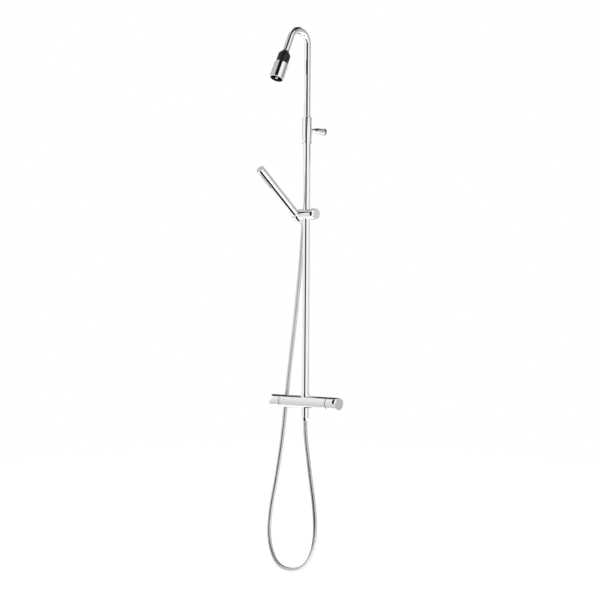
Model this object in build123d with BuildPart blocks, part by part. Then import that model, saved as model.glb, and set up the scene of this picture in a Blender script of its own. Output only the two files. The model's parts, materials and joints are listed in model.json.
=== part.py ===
from build123d import *
from math import cos, pi, radians, sin, tan
import os

# Wall-mounted shower column: a thermostatic bar mixer, a riser with a telescoping gooseneck and a small
# tilting head, a sliding holder with a stick hand shower, and its hose. Millimetres, +Z up, +Y to the wall.
# The origin lies on the wall face, midway between the two water inlets, at the height of the mixer's axis.

# --- general clearances
run_gap = 0.3  # between faces of bodies that move past each other
shaft_gap = 0.06  # radial, between a shaft and its bore
seat_gap = 0.1  # radial, between parts that are assembled and stay put

# --- mixer bar
wall_gap = 80.0  # wall face to the axis of the mixer and of the riser
inlet_centres = 150.0
bar_d = 40.0
bar_length = 300.0
body_past_inlet = 13.6  # from an inlet's axis to the end of the mixer body
stop_ring_length = 2.4
end_collar_length = 16.0
spigot_d = 34.0
spigot_length = 9.0
chamber_d = 22.0
cartridge_d = 30.0
cartridge_length = 46.0
cartridge_nose_d = 20.0
cartridge_nose_length = 14.0
cartridge_recess_depth = 4.0  # in the cartridge's inner end
cartridge_recess_inset = 1.0  # radial, from the chamber to the recess
collar_nose_gap = 1.5  # radial, from the cartridge's nose to the end collar
inlet_bore_inset = 2.0  # the inlet bore starts this far inside the cartridge's radius
spindle_d = 8.0
spindle_depth = 20.0  # of the spindle inside its cartridge
spindle_in_handle = 3.0  # of the spindle inside the handle's end wall
handle_cavity_d = 33.0
handle_end_wall = 12.0
hub_d = 14.0
hub_nose_gap = 6.4  # from the cartridge's nose to the handle's hub
hub_overlap = 1.0  # of the hub inside the end wall that it joins
stop_ring_inset = 1.0  # radial step from the bar down to the dark ring
cap_d = 26.0
cap_thickness = 2.0
screw_d = 4.0
screw_length = 14.0
screw_head_d = 7.0
screw_head_height = 2.6
scoop_r = 26.0  # thumb scoop in the handles and in the lock knob
scoop_rise = 20.0  # centre of the scoop's sphere outside the surface
scoop_beyond = 3.0  # and beyond the end face
scoop_angle = 25.0  # above the front, on the mixer's handles
rim_round = 0.8

# --- water inlets
stub_d = 22.0
stub_bore = 17.0
stub_reach = 38.0  # end of the inlet stub, behind the bar's axis
stub_lip_d = 24.0
stub_lip_length = 2.2
union_thread_d = 26.2
union_nut_af = 30.0
union_nut_start = 30.0
union_nut_length = 20.0
gasket_thickness = 2.0
gasket_inset = 0.5  # radial, from the union thread to the gasket
union_thread_length = 12.0
hex_af = 27.0
hex_length = 8.0
tail_d = 20.9
tail_in_wall = 8.0
tail_bore = 14.0
valve_length = 13.0
valve_nose_d = 8.5
valve_nose_length = 3.0
valve_shoulder = 1.0

# --- riser and its seat on the mixer
pad_d = 28.0
pad_top = 21.5
riser_d = 24.0
riser_bore = 21.6
riser_spigot_length = 26.0
waterway_d = 13.0
ring_groove_width = 2.2
ring_section_d = 1.6
ring_count = 2
foot_collar_d = 28.0
foot_collar_height = 7.0
foot_screw_d = 3.0
foot_screw_sunk = 0.3  # below the collar's surface

# --- hose outlet
boss_d = 25.0
boss_bottom = 22.5
outlet_thread_d = 20.9
outlet_thread_length = 13.0

# --- coupling at the top of the riser
coupling_d = 30.5
coupling_below_bracket = 44.5  # from the bracket's axis to the coupling's lower end
coupling_above_bracket = 41.5
riser_in_coupling = 59.0
coupling_ring_length = 9.5
coupling_neck_length = 6.5
coupling_neck_d = 27.4
coupling_chamfer = 1.6
collet_pocket_d = 26.2
collet_height = 10.0
collet_wall = 2.4
collet_above_riser = 5.0

# --- wall bracket
bracket_z = 885.5
arm_neck_d = 10.0
arm_neck_end = 24.0
arm_d = 18.5
arm_cone_end = 50.0
flange_d = 23.0
flange_thickness = 6.0
bracket_pin_d = 9.0
bracket_pin_start = 29.0
bracket_foot_d = 19.0
bracket_foot_thickness = 3.0
wall_bolt_d = 6.0  # the bolt that stands in the wall
wall_bolt_depth = 14.0
arm_screw_y = 36.5
arm_screw_d = 6.0
arm_screw_sunk = 0.4  # below the arm's surface
arm_screw_socket_d = 4.0
arm_screw_socket_depth = 1.0
arm_saddle_depth = 2.0  # of the arm inside the coupling's radius, before its saddle is cut
arm_stud_d = 6.0
arm_stud_end = 25.0

# --- gooseneck
gooseneck_d = 21.0
gooseneck_bore = 18.0
gooseneck_in_riser = 200.0  # from its lower end to the top of the riser, at rest
gooseneck_reach = 264.0  # from the top of the riser to the start of its bend, at rest
bend_radius = 40.0
bend_turn = 156.0
leg_length = 57.7
piston_length = 22.0
piston_head_length = 4.0
piston_bore = 14.0

# --- shower head, measured along its own axis from the end of the gooseneck's leg
tube_end_gap = 1.5  # the tube stops short of the head by this
ball_d = 22.0
ball_station = 16.0
ball_stem_d = 13.0
ball_plug_length = 14.0
ball_waterway_d = 6.0
cone_start = 1.5
cone_small_d = 24.0
cone_mouth_d = 21.2
cone_end = 13.0
seat_ring_d = 25.2
seat_ring_from = 64.0  # polar angles of the seat ring, from the stem's side
seat_ring_to = 82.0
cone_lip_before_ring = 12.0  # degrees from the cone's lip to the seat ring
seat_plug_from = 115.0
seat_plug_to = 145.0
seat_plug_bore = 9.0
sleeve_d = 32.0
sleeve_end = 52.0
ribbed_d = 40.0
rib_count = 5
rib_groove_width = 1.8
rib_groove_depth = 1.8
shell_start = 44.0
shell_end = 100.0
shell_d = 46.5
shell_wall = 2.6
shell_top_thickness = 4.0
shell_round = 2.4
plate_station = 84.0
plate_thickness = 3.0
spray_hole_d = 1.6
spray_hole_count = 24
spray_hole_circle_d = 31.0
jet_base_d = 13.0
jet_tip_d = 8.0
jet_bore = 4.0
jet_end = 99.0
jet_flange_width = 2.0
jet_flange_thickness = 3.0
jet_shoulder_length = 1.0
diffuser_d = 38.0
diffuser_start = 56.0
diffuser_wall = 2.0
diffuser_collar_length = 8.0
diffuser_cone_length = 12.0
seat_plug_end = 30.0

# --- slider
slider_z = 610.0
slider_d = 34.6
slider_left = 16.0
slider_right = 21.8
bush_wall = 1.0
bush_half_height = 11.0
knob_end = 43.8
knob_spindle_d = 8.0
pivot_d = 18.0
pivot_length = 6.2
pivot_ring_section_d = 1.8
brake_pad_length = 3.0
brake_pad_gap = 0.2  # radial, from the pad to the spindle's bore

# --- cradle and hand shower
cradle_end = 54.0
stick_x = -38.0
stick_angle = 50.0  # from the vertical, leaning forward
stick_offset = 6.0  # from the slider's axis to the stick's axis
cradle_end_round = 8.0
cradle_barrel_d = 31.0
cradle_low = 17.0  # below and above the foot of the offset, along the stick
cradle_high = 15.2
socket_top_d = 25.2
socket_bottom_d = 22.0
hose_slot = 16.4
stick_d = 27.0
stick_bore = 22.6
stick_length = 206.0
stick_end_thickness = 3.0
spray_strip_length = 66.0
spray_strip_width = 11.0
spray_strip_from_end = 12.0
spray_strip_depth = 3.4
stick_nozzle_d = 2.2
stick_nozzle_height = 0.7
stick_nozzle_count = 10
stick_nozzle_rows = 2
stick_nozzle_row_gap = 5.0
stick_tail_d = 20.9
stick_tail_length = 12.0
stick_tail_bore = 12.0
cone_nut_low = 19.0
cone_nut_exit_d = 16.5
nut_floor_thickness = 3.0  # at the hose end of either nut

# --- hose
hose_d = 14.4
hose_nut_d = 24.0
hose_nut_length = 28.5
hose_nut_cone = 8.0
hose_nut_exit_d = 16.5
hose_nut_gap = 0.5  # from the outlet boss to the nut
hose_tail_d = 11.0
hose_first_run = 11.0  # straight out of the cone nut
hose_arc_share = 0.45  # of the shorter run beside a corner

# --- worked out from the above
axis_y = -wall_gap
bar_half = bar_length / 2
body_half = inlet_centres / 2 + body_past_inlet
collar_end = body_half + end_collar_length
handle_start = collar_end + stop_ring_length
handle_length = bar_half - handle_start
cavity_end = bar_half - handle_end_wall
cartridge_face = body_half + spigot_length
nose_end = cartridge_face + cartridge_nose_length
screw_head_seat = bar_half - cap_thickness - screw_head_height
coupling_bottom = bracket_z - coupling_below_bracket
coupling_top = bracket_z + coupling_above_bracket
riser_top = coupling_bottom + riser_in_coupling
gooseneck_bottom = riser_top - gooseneck_in_riser
bend_start = riser_top + gooseneck_reach
bend_end_angle = 180 - bend_turn
cone_nut_gap = run_gap + seat_gap
leg_forward = bend_radius * (1 + cos(radians(bend_end_angle))) + leg_length * sin(radians(bend_end_angle))
neck_z = bend_start + bend_radius * sin(radians(bend_end_angle)) - leg_length * cos(radians(bend_end_angle))
coupling_body_bottom = coupling_bottom + coupling_ring_length + coupling_neck_length
riser_spigot_d = riser_bore - 2 * seat_gap
ring_centre_r = riser_bore / 2 - shaft_gap - ring_section_d / 2
ring_groove_r = ring_centre_r - ring_section_d / 2 - shaft_gap
ring_pitch = riser_spigot_length / (ring_count + 1)
groove_starts = [pad_top + ring_pitch * (ring + 1) for ring in range(ring_count)]
gooseneck_slide_bore = gooseneck_d + 2 * shaft_gap
collet_bottom = riser_top + collet_above_riser
hose_nut_top = -(boss_bottom + hose_nut_gap)
hose_nut_bottom = hose_nut_top - hose_nut_length - hose_nut_cone
stick_lean = radians(stick_angle)
socket_slope = (socket_top_d - socket_bottom_d) / 2 / (cradle_low + cradle_high)

os.makedirs("parts", exist_ok=True)


def along_x(x, z=0.0):
    """Plane across the X axis, its local x to the wall and its local y up."""
    return Plane(origin=(x, axis_y, z), x_dir=(0, 1, 0), z_dir=(1, 0, 0))


def outward(side, distance, z=0.0):
    """Plane across the X axis that faces away from the middle, on either side."""
    return Plane(origin=(side * distance, axis_y, z), x_dir=(0, side, 0), z_dir=(side, 0, 0))


def to_wall(x, behind_axis, z=0.0):
    """Plane that faces the wall."""
    return Plane(origin=(x, axis_y + behind_axis, z), x_dir=(1, 0, 0), z_dir=(0, 1, 0))


def level(z):
    """Plane across the riser's axis."""
    return Plane(origin=(0, axis_y, z))


def on_head(station):
    """Plane across the head's axis, at a station measured from the end of the leg."""
    lean = radians(bend_end_angle)
    neck = Plane(
        origin=(0, axis_y - leg_forward, neck_z), x_dir=(1, 0, 0), z_dir=(0, -sin(lean), -cos(lean))
    )
    return neck.offset(station)


def on_stick(station):
    """Plane across the hand shower's axis, at a station from the point nearest the slider's axis."""
    foot = Plane(
        origin=(
            stick_x,
            axis_y - stick_offset * cos(stick_lean),
            slider_z - stick_offset * sin(stick_lean),
        ),
        x_dir=(1, 0, 0),
        z_dir=(0, -sin(stick_lean), cos(stick_lean)),
    )
    return foot.offset(station)


def beside(plane):
    """Plane through a turned piece's axis: local x is the radius, local y the distance along the axis."""
    return Plane(origin=plane.origin, x_dir=plane.x_dir, z_dir=-plane.y_dir)


def rod(plane, length, diameter, bore=0.0):
    """Plain cylinder or tube that starts on a plane."""
    with BuildPart() as piece:
        with BuildSketch(plane):
            Circle(diameter / 2)
            if bore:
                Circle(bore / 2, mode=Mode.SUBTRACT)
        extrude(amount=length)
    return piece


def turned(plane, outline):
    """Solid of revolution about a plane's normal, from (radius, station) points."""
    with BuildPart() as piece:
        with BuildSketch(beside(plane)):
            with BuildLine():
                Polyline(*outline, close=True)
            make_face()
        revolve(axis=Axis(plane.origin, plane.z_dir))
    return piece


def sealing_ring(plane, ring_radius, section_d):
    """Round-section ring about a plane's normal."""
    with BuildPart() as piece:
        with BuildSketch(beside(plane)):
            with Locations((ring_radius, 0)):
                Circle(section_d / 2)
        revolve(axis=Axis(plane.origin, plane.z_dir))
    return piece


def save(piece, name):
    """Label one finished piece and write its STEP file."""
    piece.part.label = name
    export_step(piece.part, f"parts/{name}.step")


def cut_thumb_scoop(side, end, radius, angle, z=0.0):
    """Round thumb scoop in the front of a knob's outer rim; used inside a piece's own block."""
    reach = radius + scoop_rise
    centre = (
        side * (end + scoop_beyond),
        axis_y - reach * cos(radians(angle)),
        z + reach * sin(radians(angle)),
    )
    with Locations(centre):
        Sphere(scoop_r, mode=Mode.SUBTRACT)


# ------------------------------------------------------------------ mixer bar
with BuildPart() as mixer_body:
    with BuildSketch(along_x(-body_half)):
        Circle(bar_d / 2)
    extrude(amount=2 * body_half)
    with BuildSketch(along_x(-cartridge_face)):
        Circle(spigot_d / 2)
    extrude(amount=2 * cartridge_face)
    with BuildSketch(level(0)):
        Circle(pad_d / 2)
    extrude(amount=pad_top)
    with BuildSketch(level(0)):
        Circle(riser_spigot_d / 2)
    extrude(amount=pad_top + riser_spigot_length)
    with BuildSketch(level(0)):
        Circle(boss_d / 2)
    extrude(amount=-boss_bottom)
    with BuildSketch(level(0)):
        Circle(outlet_thread_d / 2)
    extrude(amount=-(boss_bottom + outlet_thread_length))
    for side in (-1, 1):
        with BuildSketch(to_wall(side * inlet_centres / 2, 0)):
            Circle(stub_d / 2)
        extrude(amount=stub_reach)
        with BuildSketch(to_wall(side * inlet_centres / 2, stub_reach)):
            Circle(stub_lip_d / 2)
        extrude(amount=-stub_lip_length)
    with BuildSketch(along_x(-cartridge_face)):
        Circle(chamber_d / 2)
    extrude(amount=2 * cartridge_face, mode=Mode.SUBTRACT)
    for side in (-1, 1):
        with BuildSketch(outward(side, cartridge_face)):
            Circle(cartridge_d / 2 + seat_gap)
        extrude(amount=-cartridge_length, mode=Mode.SUBTRACT)
        with BuildSketch(to_wall(side * inlet_centres / 2, cartridge_d / 2 - inlet_bore_inset)):
            Circle(stub_bore / 2)
        extrude(amount=stub_reach, mode=Mode.SUBTRACT)
    with BuildSketch(level(0)):
        Circle(waterway_d / 2)
    extrude(amount=pad_top + riser_spigot_length, mode=Mode.SUBTRACT)
    with BuildSketch(level(0)):
        Circle(waterway_d / 2)
    extrude(amount=-(boss_bottom + outlet_thread_length), mode=Mode.SUBTRACT)
    for groove_start in groove_starts:
        with BuildSketch(level(groove_start)):
            Circle(riser_spigot_d / 2)
            Circle(ring_groove_r, mode=Mode.SUBTRACT)
        extrude(amount=ring_groove_width, mode=Mode.SUBTRACT)
save(mixer_body, "mixer_body")

for side, name in ((-1, "left"), (1, "right")):
    collar_bore = cartridge_nose_d / 2 + collar_nose_gap
    end_collar = turned(
        outward(side, body_half),
        (
            (spigot_d / 2 + seat_gap, 0),
            (bar_d / 2, 0),
            (bar_d / 2, end_collar_length),
            (collar_bore, end_collar_length),
            (collar_bore, spigot_length),
            (spigot_d / 2 + seat_gap, spigot_length),
        ),
    )
    save(end_collar, f"end_collar_{name}")
    stop_ring = rod(
        outward(side, collar_end),
        stop_ring_length - run_gap,
        bar_d - 2 * stop_ring_inset,
        cartridge_nose_d + 2 * seat_gap,
    )
    save(stop_ring, f"stop_ring_{name}")

for side, name in ((-1, "thermostatic_cartridge"), (1, "flow_cartridge")):
    nose_tip = cartridge_length + cartridge_nose_length
    cartridge = turned(
        outward(side, cartridge_face - cartridge_length),
        (
            (spindle_d / 2 + shaft_gap, nose_tip - spindle_depth - run_gap),
            (0, nose_tip - spindle_depth - run_gap),
            (0, cartridge_recess_depth),
            (chamber_d / 2 - cartridge_recess_inset, cartridge_recess_depth),
            (chamber_d / 2 - cartridge_recess_inset, 0),
            (cartridge_d / 2, 0),
            (cartridge_d / 2, cartridge_length),
            (cartridge_nose_d / 2, cartridge_length),
            (cartridge_nose_d / 2, nose_tip),
            (spindle_d / 2 + shaft_gap, nose_tip),
        ),
    )
    save(cartridge, name)

hub_start = nose_end + hub_nose_gap
for side, name in ((-1, "temperature"), (1, "flow")):
    spindle_start = nose_end - spindle_depth
    spindle_end = cavity_end + spindle_in_handle
    with BuildPart() as spindle:
        with BuildSketch(outward(side, spindle_start)):
            Circle(spindle_d / 2)
        extrude(amount=spindle_end - spindle_start)
        with BuildSketch(outward(side, spindle_end)):
            Circle(screw_d / 2)
        extrude(amount=screw_head_seat - spindle_end - screw_length, mode=Mode.SUBTRACT)
    save(spindle, f"{name}_spindle")

    with BuildPart() as handle:
        with BuildSketch(outward(side, handle_start)):
            Circle(bar_d / 2)
        extrude(amount=handle_length)
        outer_rims = handle.edges().filter_by(GeomType.CIRCLE)
        fillet(outer_rims, radius=rim_round)
        with BuildSketch(outward(side, handle_start)):
            Circle(handle_cavity_d / 2)
        extrude(amount=cavity_end - handle_start, mode=Mode.SUBTRACT)
        with BuildSketch(outward(side, hub_start)):
            Circle(hub_d / 2)
        extrude(amount=cavity_end + hub_overlap - hub_start)
        with BuildSketch(outward(side, hub_start)):
            Circle(spindle_d / 2 + seat_gap)
        extrude(amount=spindle_end - hub_start, mode=Mode.SUBTRACT)
        with BuildSketch(outward(side, spindle_end)):
            Circle(screw_d / 2 + seat_gap)
        extrude(amount=bar_half - spindle_end, mode=Mode.SUBTRACT)
        with BuildSketch(outward(side, bar_half)):
            Circle(screw_head_d / 2 + seat_gap)
        extrude(amount=-(cap_thickness + screw_head_height), mode=Mode.SUBTRACT)
        with BuildSketch(outward(side, bar_half)):
            Circle(cap_d / 2 + seat_gap)
        extrude(amount=-cap_thickness, mode=Mode.SUBTRACT)
        cut_thumb_scoop(side, bar_half, bar_d / 2, scoop_angle)
    save(handle, f"{name}_handle")

    with BuildPart() as handle_screw:
        with BuildSketch(outward(side, screw_head_seat)):
            Circle(screw_head_d / 2)
        extrude(amount=screw_head_height)
        with BuildSketch(outward(side, screw_head_seat)):
            Circle(screw_d / 2)
        extrude(amount=-screw_length)
        with BuildSketch(outward(side, screw_head_seat + screw_head_height)):
            RegularPolygon(radius=screw_d / 2, side_count=6)
        extrude(amount=-screw_head_height / 2, mode=Mode.SUBTRACT)
    save(handle_screw, f"{name}_handle_screw")

    save(rod(outward(side, bar_half - cap_thickness), cap_thickness, cap_d), f"{name}_handle_cap")

# ------------------------------------------------------------------ water inlets
gasket_y = stub_reach + gasket_thickness
for side, name in ((-1, "left"), (1, "right")):
    inlet_x = side * inlet_centres / 2
    with BuildPart() as union_nut:
        with BuildSketch(to_wall(inlet_x, union_nut_start)):
            RegularPolygon(radius=union_nut_af / 2, side_count=6, major_radius=False)
        extrude(amount=union_nut_length)
        with BuildSketch(to_wall(inlet_x, union_nut_start)):
            Circle(stub_d / 2 + seat_gap)
        extrude(amount=union_nut_length, mode=Mode.SUBTRACT)
        with BuildSketch(to_wall(inlet_x, stub_reach - stub_lip_length)):
            Circle(union_thread_d / 2 + seat_gap)
        extrude(amount=union_nut_length, mode=Mode.SUBTRACT)
    save(union_nut, f"union_nut_{name}")

    gasket_d = union_thread_d - 2 * gasket_inset
    save(rod(to_wall(inlet_x, stub_reach), gasket_thickness, gasket_d, tail_bore), f"inlet_gasket_{name}")

    hex_start = gasket_y + union_thread_length
    hex_end = hex_start + hex_length
    with BuildPart() as connector:
        with BuildSketch(to_wall(inlet_x, gasket_y)):
            Circle(union_thread_d / 2)
        extrude(amount=union_thread_length)
        with BuildSketch(to_wall(inlet_x, hex_start)):
            RegularPolygon(radius=hex_af / 2, side_count=6, major_radius=False)
        extrude(amount=hex_length)
        with BuildSketch(to_wall(inlet_x, hex_end)):
            Circle(tail_d / 2)
        extrude(amount=wall_gap + tail_in_wall - hex_end)
        with BuildSketch(to_wall(inlet_x, gasket_y)):
            Circle(tail_bore / 2)
        extrude(amount=wall_gap + tail_in_wall - gasket_y, mode=Mode.SUBTRACT)
    save(connector, f"wall_connector_{name}")

    valve = turned(
        to_wall(inlet_x, stub_reach - valve_length),
        (
            (0, 0),
            (valve_nose_d / 2, 0),
            (stub_bore / 2 - valve_shoulder, valve_nose_length),
            (stub_bore / 2 - seat_gap, valve_nose_length),
            (stub_bore / 2 - seat_gap, valve_length),
            (0, valve_length),
        ),
    )
    save(valve, f"check_valve_{name}")

# ------------------------------------------------------------------ riser
save(rod(level(pad_top), riser_top - pad_top, riser_d, riser_bore), "lower_riser")

with BuildPart() as foot_collar:
    with BuildSketch(level(pad_top)):
        Circle(foot_collar_d / 2)
        Circle(riser_d / 2 + seat_gap, mode=Mode.SUBTRACT)
    extrude(amount=foot_collar_height)
    with BuildSketch(to_wall(0, 0, pad_top + foot_collar_height / 2)):
        Circle(foot_screw_d / 2)
    extrude(amount=foot_collar_d, mode=Mode.SUBTRACT)
save(foot_collar, "riser_foot_collar")

foot_screw_start = riser_d / 2 + seat_gap
foot_screw_length = foot_collar_d / 2 - foot_screw_start - foot_screw_sunk
save(
    rod(to_wall(0, foot_screw_start, pad_top + foot_collar_height / 2), foot_screw_length, foot_screw_d),
    "riser_foot_screw",
)

with BuildPart() as riser_seals:
    for groove_start in groove_starts:
        with BuildSketch(beside(level(0))):
            with Locations((ring_centre_r, groove_start + ring_groove_width / 2)):
                Circle(ring_section_d / 2)
    revolve(axis=Axis((0, axis_y, 0), (0, 0, 1)))
save(riser_seals, "riser_seals")

# ------------------------------------------------------------------ coupling and wall bracket
neck_bottom = coupling_bottom + coupling_ring_length
clamp_ring = turned(
    level(0),
    (
        (riser_d / 2 + seat_gap, coupling_bottom),
        (coupling_d / 2, coupling_bottom),
        (coupling_d / 2, neck_bottom),
        (coupling_neck_d / 2, neck_bottom),
        (coupling_neck_d / 2, coupling_body_bottom),
        (riser_d / 2 + seat_gap, coupling_body_bottom),
    ),
)
save(clamp_ring, "coupling_clamp_ring")

pocket_top = collet_bottom + collet_height + run_gap
with BuildPart() as riser_coupling:
    with BuildSketch(beside(level(0))):
        with BuildLine():
            Polyline(
                (riser_d / 2 + seat_gap, coupling_body_bottom),
                (coupling_d / 2, coupling_body_bottom),
                (coupling_d / 2, coupling_top - coupling_chamfer),
                (coupling_d / 2 - coupling_chamfer, coupling_top),
                (gooseneck_slide_bore / 2, coupling_top),
                (gooseneck_slide_bore / 2, pocket_top),
                (collet_pocket_d / 2, pocket_top),
                (collet_pocket_d / 2, collet_bottom - run_gap),
                (gooseneck_slide_bore / 2 + run_gap, collet_bottom - run_gap),
                (gooseneck_slide_bore / 2 + run_gap, riser_top),
                (riser_d / 2 + seat_gap, riser_top),
                close=True,
            )
        make_face()
    revolve(axis=Axis((0, axis_y, 0), (0, 0, 1)))
    with BuildSketch(to_wall(0, riser_d / 2, bracket_z)):
        Circle(arm_stud_d / 2 + seat_gap)
    extrude(amount=coupling_d / 2, mode=Mode.SUBTRACT)
save(riser_coupling, "riser_coupling")

collet_d = gooseneck_d + 2 * shaft_gap + 2 * (collet_wall - shaft_gap)
save(rod(level(collet_bottom), collet_height, collet_d, gooseneck_slide_bore), "tube_collet")

with BuildPart() as bracket_arm:
    with BuildSketch(beside(to_wall(0, 0, bracket_z))):
        with BuildLine():
            Polyline(
                (0, coupling_d / 2 - arm_saddle_depth),
                (arm_neck_d / 2, coupling_d / 2 - arm_saddle_depth),
                (arm_neck_d / 2, arm_neck_end),
                (arm_d / 2, arm_cone_end),
                (arm_d / 2, wall_gap - flange_thickness),
                (flange_d / 2, wall_gap - flange_thickness),
                (flange_d / 2, wall_gap),
                (0, wall_gap),
                close=True,
            )
        make_face()
    revolve(axis=Axis((0, axis_y, bracket_z), (0, 1, 0)))
    with BuildSketch(level(bracket_z - arm_d)):
        Circle(coupling_d / 2)
    extrude(amount=2 * arm_d, mode=Mode.SUBTRACT)
    with BuildSketch(to_wall(0, 0, bracket_z)):
        Circle(arm_stud_d / 2 + seat_gap)
    extrude(amount=arm_stud_end, mode=Mode.SUBTRACT)
    with BuildSketch(to_wall(0, bracket_pin_start, bracket_z)):
        Circle(bracket_pin_d / 2 + seat_gap)
    extrude(amount=wall_gap, mode=Mode.SUBTRACT)
    with BuildSketch(to_wall(0, wall_gap, bracket_z)):
        Circle(bracket_foot_d / 2 + seat_gap)
    extrude(amount=-bracket_foot_thickness, mode=Mode.SUBTRACT)
    with BuildSketch(Plane(origin=(0, axis_y + arm_screw_y, bracket_z), x_dir=(0, 1, 0), z_dir=(1, 0, 0))):
        Circle(arm_screw_d / 2 + seat_gap)
    extrude(amount=arm_d, mode=Mode.SUBTRACT)
save(bracket_arm, "bracket_arm")

save(
    rod(to_wall(0, riser_d / 2 + seat_gap, bracket_z), arm_stud_end - riser_d / 2 - seat_gap, arm_stud_d),
    "bracket_arm_stud",
)

with BuildPart() as wall_pin:
    with BuildSketch(to_wall(0, bracket_pin_start, bracket_z)):
        Circle(bracket_pin_d / 2)
    extrude(amount=wall_gap - bracket_pin_start)
    with BuildSketch(to_wall(0, wall_gap, bracket_z)):
        Circle(bracket_foot_d / 2)
    extrude(amount=-bracket_foot_thickness)
    with BuildSketch(to_wall(0, wall_gap, bracket_z)):
        Circle(wall_bolt_d / 2)
    extrude(amount=-wall_bolt_depth, mode=Mode.SUBTRACT)
save(wall_pin, "bracket_wall_pin")

arm_screw_start = bracket_pin_d / 2 + seat_gap
arm_radius_at_screw = arm_neck_d / 2 + (arm_d - arm_neck_d) / 2 * (arm_screw_y - arm_neck_end) / (
    arm_cone_end - arm_neck_end
)
arm_screw_length = arm_radius_at_screw - arm_screw_start - arm_screw_sunk
with BuildPart() as arm_screw:
    screw_plane = Plane(
        origin=(arm_screw_start, axis_y + arm_screw_y, bracket_z), x_dir=(0, 1, 0), z_dir=(1, 0, 0)
    )
    with BuildSketch(screw_plane):
        Circle(arm_screw_d / 2)
    extrude(amount=arm_screw_length)
    with BuildSketch(screw_plane.offset(arm_screw_length)):
        RegularPolygon(radius=arm_screw_socket_d / 2, side_count=6)
    extrude(amount=-arm_screw_socket_depth, mode=Mode.SUBTRACT)
save(arm_screw, "bracket_grub_screw")

# ------------------------------------------------------------------ gooseneck
forward_up = Plane(origin=(0, axis_y, 0), x_dir=(0, -1, 0), z_dir=(-1, 0, 0))
with BuildPart() as gooseneck_tube:
    with BuildLine(forward_up):
        straight = Line((0, gooseneck_bottom), (0, bend_start))
        bend = JernArc(start=straight @ 1, tangent=straight % 1, radius=bend_radius, arc_size=-bend_turn)
        Line(bend @ 1, bend @ 1 + (bend % 1) * (leg_length - tube_end_gap))
    with BuildSketch(level(gooseneck_bottom)):
        Circle(gooseneck_d / 2)
        Circle(gooseneck_bore / 2, mode=Mode.SUBTRACT)
    sweep()
save(gooseneck_tube, "gooseneck_tube")

piston_d = riser_bore - 2 * shaft_gap
piston = turned(
    level(gooseneck_bottom),
    (
        (piston_bore / 2, -piston_head_length),
        (piston_d / 2, -piston_head_length),
        (piston_d / 2, 0),
        (gooseneck_bore / 2 - seat_gap, 0),
        (gooseneck_bore / 2 - seat_gap, piston_length),
        (piston_bore / 2, piston_length),
    ),
)
save(piston, "telescope_piston")

# ------------------------------------------------------------------ shower head
ball_r = ball_d / 2
with BuildPart() as ball_joint:
    with BuildSketch(on_head(-tube_end_gap)):
        Circle(gooseneck_bore / 2 - seat_gap)
    extrude(amount=-ball_plug_length)
    with BuildSketch(on_head(-tube_end_gap)):
        Circle(ball_stem_d / 2)
    extrude(amount=ball_station + tube_end_gap)
    with Locations(on_head(ball_station)):
        Sphere(ball_r)
    with BuildSketch(on_head(-tube_end_gap - ball_plug_length)):
        Circle(ball_waterway_d / 2)
    extrude(amount=ball_station + ball_r + tube_end_gap + ball_plug_length, mode=Mode.SUBTRACT)
save(ball_joint, "ball_joint")


def on_sphere(radius, polar):
    """(radius, station) of a point on a sphere about the ball's centre, from the stem's side."""
    return radius * sin(radians(polar)), ball_station - radius * cos(radians(polar))


ball_seat_r = ball_r + shaft_gap
seat_ring_r = seat_ring_d / 2
with BuildPart() as ball_seat_ring:
    middle = (seat_ring_from + seat_ring_to) / 2
    with BuildSketch(beside(on_head(0))):
        with BuildLine():
            ThreePointArc(
                on_sphere(ball_seat_r, seat_ring_from),
                on_sphere(ball_seat_r, middle),
                on_sphere(ball_seat_r, seat_ring_to),
            )
            Line(on_sphere(ball_seat_r, seat_ring_to), on_sphere(seat_ring_r, seat_ring_to))
            ThreePointArc(
                on_sphere(seat_ring_r, seat_ring_to),
                on_sphere(seat_ring_r, middle),
                on_sphere(seat_ring_r, seat_ring_from),
            )
            Line(on_sphere(seat_ring_r, seat_ring_from), on_sphere(ball_seat_r, seat_ring_from))
        make_face()
    revolve(axis=Axis(on_head(0).origin, on_head(0).z_dir))
save(ball_seat_ring, "ball_seat_ring")

pocket_r = seat_ring_r + shaft_gap
lip_polar = seat_ring_from - cone_lip_before_ring
with BuildPart() as head_cone:
    lip = on_sphere(ball_seat_r, lip_polar)
    with BuildSketch(beside(on_head(0))):
        with BuildLine():
            Polyline(
                lip,
                (cone_mouth_d / 2, cone_start),
                (cone_small_d / 2, cone_start),
                (ribbed_d / 2, cone_end),
                (sleeve_d / 2, cone_end),
                (sleeve_d / 2, sleeve_end),
                (pocket_r, sleeve_end),
                (pocket_r, ball_station),
            )
            ThreePointArc(
                (pocket_r, ball_station),
                on_sphere(pocket_r, (90 + lip_polar) / 2),
                on_sphere(pocket_r, lip_polar),
            )
            Line(on_sphere(pocket_r, lip_polar), lip)
        make_face()
    revolve(axis=Axis(on_head(0).origin, on_head(0).z_dir))
save(head_cone, "head_cone")

plug_start = on_sphere(ball_seat_r, seat_plug_from)
plug_middle = on_sphere(ball_seat_r, (seat_plug_from + seat_plug_to) / 2)
plug_end = on_sphere(ball_seat_r, seat_plug_to)
with BuildPart() as seat_plug:
    with BuildSketch(beside(on_head(0))):
        with BuildLine():
            ThreePointArc(plug_start, plug_middle, plug_end)
            Polyline(
                plug_end,
                (seat_plug_bore / 2, seat_plug_end),
                (pocket_r - seat_gap, seat_plug_end),
                (pocket_r - seat_gap, plug_start[1]),
                plug_start,
            )
        make_face()
    revolve(axis=Axis(on_head(0).origin, on_head(0).z_dir))
save(seat_plug, "ball_seat_plug")

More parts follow.
